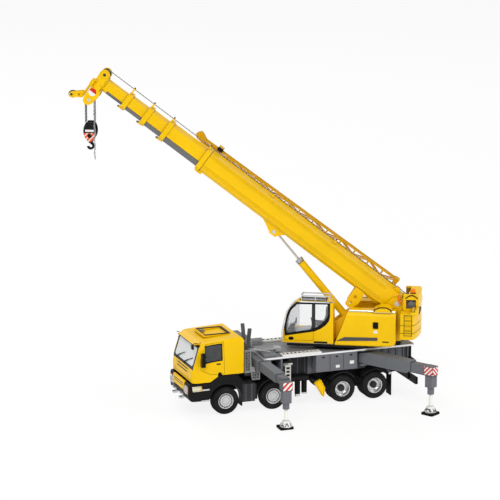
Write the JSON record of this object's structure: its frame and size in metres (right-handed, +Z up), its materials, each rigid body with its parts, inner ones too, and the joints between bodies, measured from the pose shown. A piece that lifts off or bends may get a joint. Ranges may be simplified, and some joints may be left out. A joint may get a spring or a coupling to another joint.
{
  "type": "toy crane truck",
  "caption": "Toy mobile crane: steerable truck with outriggers, slewing superstructure, luffing telescopic boom, stowed lattice jib, winch ropes, hook block and swivelling hook.",
  "frame": {"origin": "on the ground under the middle of the model's bounding box", "axes": "+X towards the front of the truck, +Y to its left side, +Z up"},
  "size_m": [0.2546, 0.1832, 0.2537],
  "materials": {
    "yellow_paint": "gloss",
    "yellow_plastic": "gloss",
    "dark_grey": "matte",
    "grey_frame": "satin",
    "boom_paint": "gloss",
    "black_plastic": "satin",
    "silver": "satin",
    "tyre_rubber": "matte",
    "window": "gloss",
    "cord": "matte"
  },
  "bodies": {
    "truck": {"chassis": "dark_grey", "truck_cab": "yellow_plastic", "cab_glass": "window", "front_bumper": "dark_grey", "fenders": "dark_grey", "boom_rest": "grey_frame", "heat_shield": "silver", "deck": "grey_frame", "toolboxes_left": "grey_frame", "toolboxes_right": "grey_frame", "outrigger_housing": "grey_frame"},
    "superstructure": {"slew_frame": "yellow_paint", "housing_left": "yellow_plastic", "housing_right": "yellow_plastic", "counterweight": "yellow_paint", "winch_rope": "cord"},
    "winch": {"winch_drum": "dark_grey"},
    "operator_cab": {"crane_cab": "yellow_plastic", "crane_cab_glass": "window"},
    "boom": {"boom_base": "boom_paint", "stowed_jib": "yellow_plastic", "boom_rope_1": "cord"},
    "section_1": {"boom_section_1": "boom_paint", "boom_rope_2": "cord"},
    "section_2": {"boom_section_2": "boom_paint", "boom_rope_3": "cord"},
    "section_3": {"boom_section_3": "boom_paint", "boom_rope_4": "cord"},
    "section_4": {"boom_section_4": "boom_paint", "boom_head": "boom_paint"},
    "head_sheave": {"head_sheave": "dark_grey"},
    "hoist_sheaves": {"hoist_sheaves": "dark_grey"},
    "nose": {"boom_nose": "boom_paint"},
    "ram_rod": {"luffing_rod": "silver"},
    "ram_barrel": {"luffing_barrel": "yellow_paint"},
    "falls": {"hoist_ropes": "cord"},
    "block": {"hook_block": "black_plastic"},
    "hook": {"hook": "dark_grey"},
    "rear_axle_3": {"rear_wheels_3": "tyre_rubber"},
    "rear_axle_4": {"rear_wheels_4": "tyre_rubber"},
    "knuckle_1_left": {"steering_knuckle_1_left": "dark_grey"},
    "wheel_1_left": {"front_wheel_1_left": "tyre_rubber"},
    "knuckle_1_right": {"steering_knuckle_1_right": "dark_grey"},
    "wheel_1_right": {"front_wheel_1_right": "tyre_rubber"},
    "knuckle_2_left": {"steering_knuckle_2_left": "dark_grey"},
    "wheel_2_left": {"front_wheel_2_left": "tyre_rubber"},
    "knuckle_2_right": {"steering_knuckle_2_right": "dark_grey"},
    "wheel_2_right": {"front_wheel_2_right": "tyre_rubber"},
    "front_leg_beam_left": {"front_outrigger_beam_left": "grey_frame"},
    "front_leg_left": {"front_outrigger_jack_left": "grey_frame"},
    "front_foot_left": {"front_outrigger_foot_left": "silver"},
    "rear_leg_beam_left": {"rear_outrigger_beam_left": "grey_frame"},
    "rear_leg_left": {"rear_outrigger_jack_left": "grey_frame"},
    "rear_foot_left": {"rear_outrigger_foot_left": "silver"},
    "front_leg_beam_right": {"front_outrigger_beam_right": "grey_frame"},
    "front_leg_right": {"front_outrigger_jack_right": "grey_frame"},
    "front_foot_right": {"front_outrigger_foot_right": "silver"},
    "rear_leg_beam_right": {"rear_outrigger_beam_right": "grey_frame"},
    "rear_leg_right": {"rear_outrigger_jack_right": "grey_frame"},
    "rear_foot_right": {"rear_outrigger_foot_right": "silver"}
  },
  "joints": [
    {"name": "steering_1_left", "type": "hinge", "parent": "truck", "child": "knuckle_1_left", "pos_m": [0.04132, 0.02205, 0.0107], "axis": [0, 0, 1], "range_deg": [-12, 12]},
    {"name": "wheel_spin_1_left", "type": "hinge", "parent": "knuckle_1_left", "child": "wheel_1_left", "pos_m": [0.04132, 0.02805, 0.0107], "axis": [0, 1, 0], "continuous": true},
    {"name": "steering_1_right", "type": "hinge", "parent": "truck", "child": "knuckle_1_right", "pos_m": [0.04132, -0.00595, 0.0107], "axis": [0, 0, 1], "range_deg": [-12, 12]},
    {"name": "wheel_spin_1_right", "type": "hinge", "parent": "knuckle_1_right", "child": "wheel_1_right", "pos_m": [0.04132, -0.01195, 0.0107], "axis": [0, 1, 0], "continuous": true},
    {"name": "steering_2_left", "type": "hinge", "parent": "truck", "child": "knuckle_2_left", "pos_m": [0.00252, 0.02205, 0.0107], "axis": [0, 0, 1], "range_deg": [-8.4, 8.4]},
    {"name": "wheel_spin_2_left", "type": "hinge", "parent": "knuckle_2_left", "child": "wheel_2_left", "pos_m": [0.00252, 0.02805, 0.0107], "axis": [0, 1, 0], "continuous": true},
    {"name": "steering_2_right", "type": "hinge", "parent": "truck", "child": "knuckle_2_right", "pos_m": [0.00252, -0.00595, 0.0107], "axis": [0, 0, 1], "range_deg": [-8.4, 8.4]},
    {"name": "wheel_spin_2_right", "type": "hinge", "parent": "knuckle_2_right", "child": "wheel_2_right", "pos_m": [0.00252, -0.01195, 0.0107], "axis": [0, 1, 0], "continuous": true},
    {"name": "rear_axle_spin_3", "type": "hinge", "parent": "truck", "child": "rear_axle_3", "pos_m": [-0.05448, 0.00805, 0.0107], "axis": [0, 1, 0], "continuous": true},
    {"name": "rear_axle_spin_4", "type": "hinge", "parent": "truck", "child": "rear_axle_4", "pos_m": [-0.08158, 0.00805, 0.0107], "axis": [0, 1, 0], "continuous": true},
    {"name": "front_beam_slide_left", "type": "slide", "parent": "truck", "child": "front_leg_beam_left", "axis": [0, 1, 0], "range_m": [-0.0315, 0.0015]},
    {"name": "front_jack_slide_left", "type": "slide", "parent": "front_leg_beam_left", "child": "front_leg_left", "axis": [0, 1, 0], "range_m": [-0.0088, 0.0015]},
    {"name": "front_foot_lift_left", "type": "slide", "parent": "front_leg_left", "child": "front_foot_left", "axis": [0, 0, 1], "range_m": [0, 0.009]},
    {"name": "rear_swing_left", "type": "hinge", "parent": "truck", "child": "rear_leg_beam_left", "pos_m": [-0.07398, 0.02855, 0.034], "axis": [0, 0, 1], "range_deg": [-5, 60]},
    {"name": "rear_jack_slide_left", "type": "slide", "parent": "rear_leg_beam_left", "child": "rear_leg_left", "axis": [-0.5, 0.866, 0], "range_m": [-0.012, 0.002]},
    {"name": "rear_foot_lift_left", "type": "slide", "parent": "rear_leg_left", "child": "rear_foot_left", "axis": [0, 0, 1], "range_m": [0, 0.009]},
    {"name": "front_beam_slide_right", "type": "slide", "parent": "truck", "child": "front_leg_beam_right", "axis": [0, -1, 0], "range_m": [-0.0315, 0.0015]},
    {"name": "front_jack_slide_right", "type": "slide", "parent": "front_leg_beam_right", "child": "front_leg_right", "axis": [0, -1, 0], "range_m": [-0.0088, 0.0015]},
    {"name": "front_foot_lift_right", "type": "slide", "parent": "front_leg_right", "child": "front_foot_right", "axis": [0, 0, 1], "range_m": [0, 0.009]},
    {"name": "rear_swing_right", "type": "hinge", "parent": "truck", "child": "rear_leg_beam_right", "pos_m": [-0.07398, -0.01245, 0.034], "axis": [0, 0, -1], "range_deg": [-5, 60]},
    {"name": "rear_jack_slide_right", "type": "slide", "parent": "rear_leg_beam_right", "child": "rear_leg_right", "axis": [-0.5, -0.866, 0], "range_m": [-0.012, 0.002]},
    {"name": "rear_foot_lift_right", "type": "slide", "parent": "rear_leg_right", "child": "rear_foot_right", "axis": [0, 0, 1], "range_m": [0, 0.009]},
    {"name": "slew", "type": "hinge", "parent": "truck", "child": "superstructure", "pos_m": [-0.05668, 0.00805, 0.042], "axis": [0, 0, 1], "continuous": true},
    {"name": "winch_spin", "type": "hinge", "parent": "superstructure", "child": "winch", "pos_m": [-0.11107, 0.03697, 0.0725], "axis": [0.4695, 0.8829, 0], "continuous": true},
    {"name": "operator_cab_tilt", "type": "hinge", "parent": "superstructure", "child": "operator_cab", "pos_m": [-0.05023, 0.02444, 0.0464], "axis": [-0.4695, -0.8829, 0], "range_deg": [0, 20]},
    {"name": "boom_luff", "type": "hinge", "parent": "superstructure", "child": "boom", "pos_m": [-0.10083, 0.03153, 0.077], "axis": [-0.4695, -0.8829, 0], "range_deg": [-36.2, 43.8], "deforming": ["winch_rope"]},
    {"name": "boom_slide_1", "type": "slide", "parent": "boom", "child": "section_1", "axis": [0.7125, -0.3788, 0.5906], "range_m": [-0.031, 0.115], "deforming": ["boom_rope_1"]},
    {"name": "boom_slide_2", "type": "slide", "parent": "section_1", "child": "section_2", "axis": [0.7125, -0.3788, 0.5906], "range_m": [-0.0145, 0.132], "deforming": ["boom_rope_2"]},
    {"name": "boom_slide_3", "type": "slide", "parent": "section_2", "child": "section_3", "axis": [0.7125, -0.3788, 0.5906], "range_m": [-0.0145, 0.132], "deforming": ["boom_rope_3"]},
    {"name": "boom_slide_4", "type": "slide", "parent": "section_3", "child": "section_4", "axis": [0.7125, -0.3788, 0.5906], "range_m": [-0.015, 0.133], "deforming": ["boom_rope_4"]},
    {"name": "head_sheave_spin", "type": "hinge", "parent": "section_4", "child": "head_sheave", "pos_m": [0.10056, -0.07556, 0.24927], "axis": [0.4695, 0.8829, 0], "continuous": true},
    {"name": "hoist_sheave_spin", "type": "hinge", "parent": "section_4", "child": "hoist_sheaves", "pos_m": [0.11169, -0.08148, 0.2295], "axis": [0.4695, 0.8829, 0], "continuous": true},
    {"name": "nose_fold", "type": "hinge", "parent": "section_4", "child": "nose", "pos_m": [0.11178, -0.07337, 0.24424], "axis": [-0.5215, 0.2773, 0.807], "range_deg": [0, 170]},
    {"name": "ram_hinge", "type": "hinge", "parent": "boom", "child": "ram_rod", "pos_m": [-0.01548, -0.01385, 0.12965], "axis": [-0.4695, -0.8829, 0], "range_deg": [-6, 7]},
    {"name": "ram_slide", "type": "slide", "parent": "ram_rod", "child": "ram_barrel", "axis": [-0.5687, 0.3024, -0.7649], "range_m": [-0.024, 0.0285]},
    {"name": "falls_swing", "type": "hinge", "parent": "section_4", "child": "falls", "pos_m": [0.11169, -0.08148, 0.2295], "axis": [-0.4695, -0.8829, 0], "range_deg": [-44, 36.5]},
    {"name": "hoist", "type": "slide", "parent": "falls", "child": "block", "axis": [0, 0, 1], "range_m": [-0.06, 0.008], "deforming": ["hoist_ropes"]},
    {"name": "hook_swivel", "type": "hinge", "parent": "block", "child": "hook", "pos_m": [0.11169, -0.08148, 0.1955], "axis": [0, 0, 1], "continuous": true}
  ],
  "couplings": [
    {"joint": "steering_1_right", "follows": "steering_1_left", "ratio": 1},
    {"joint": "steering_2_left", "follows": "steering_1_left", "ratio": 0.7},
    {"joint": "steering_2_right", "follows": "steering_1_left", "ratio": 0.7},
    {"joint": "ram_hinge", "follows": "boom_luff", "ratio": 0.15},
    {"joint": "ram_slide", "follows": "boom_luff", "m_per_rad": 0.0367},
    {"joint": "falls_swing", "follows": "boom_luff", "ratio": -1}
  ]
}
